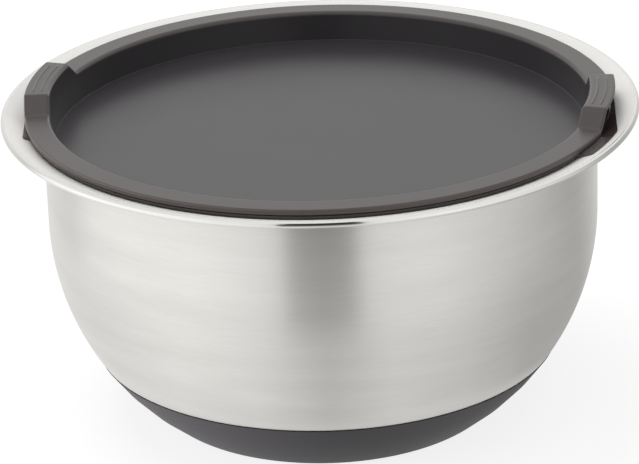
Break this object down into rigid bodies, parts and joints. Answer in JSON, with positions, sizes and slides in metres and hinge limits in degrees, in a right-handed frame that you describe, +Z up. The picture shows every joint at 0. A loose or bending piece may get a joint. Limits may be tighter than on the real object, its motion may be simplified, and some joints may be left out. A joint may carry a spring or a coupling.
{
  "type": "mixing bowl with lid",
  "caption": "Round stainless steel mixing bowl with a flared rolled rim, a bonded non-slip foot and a drop-in dished lid with arch handles and a soft seal ring.",
  "frame": {"origin": "on the table under the bowl's axis", "axes": "+Z up along the bowl's axis, X through the two arch handles of the lid"},
  "size_m": [0.24, 0.24, 0.1271],
  "materials": {
    "brushed_steel": "brushed round the axis, satin, with a polished rolled rim",
    "foot_silicone": "moulded dark grey silicone, matte",
    "lid_plastic": "moulded dark warm grey plastic, fine satin texture",
    "seal_silicone": "moulded dark warm grey silicone, satin"
  },
  "bodies": {
    "bowl": {"bowl_shell": "brushed_steel", "base_pad": "foot_silicone"},
    "lid": {"lid": "lid_plastic", "lid_seal_ring": "seal_silicone"}
  },
  "joints": [
    {"name": "lid_lift", "type": "slide", "parent": "bowl", "child": "lid", "axis": [0, 0, 1], "range_m": [0, 0.2]}
  ]
}
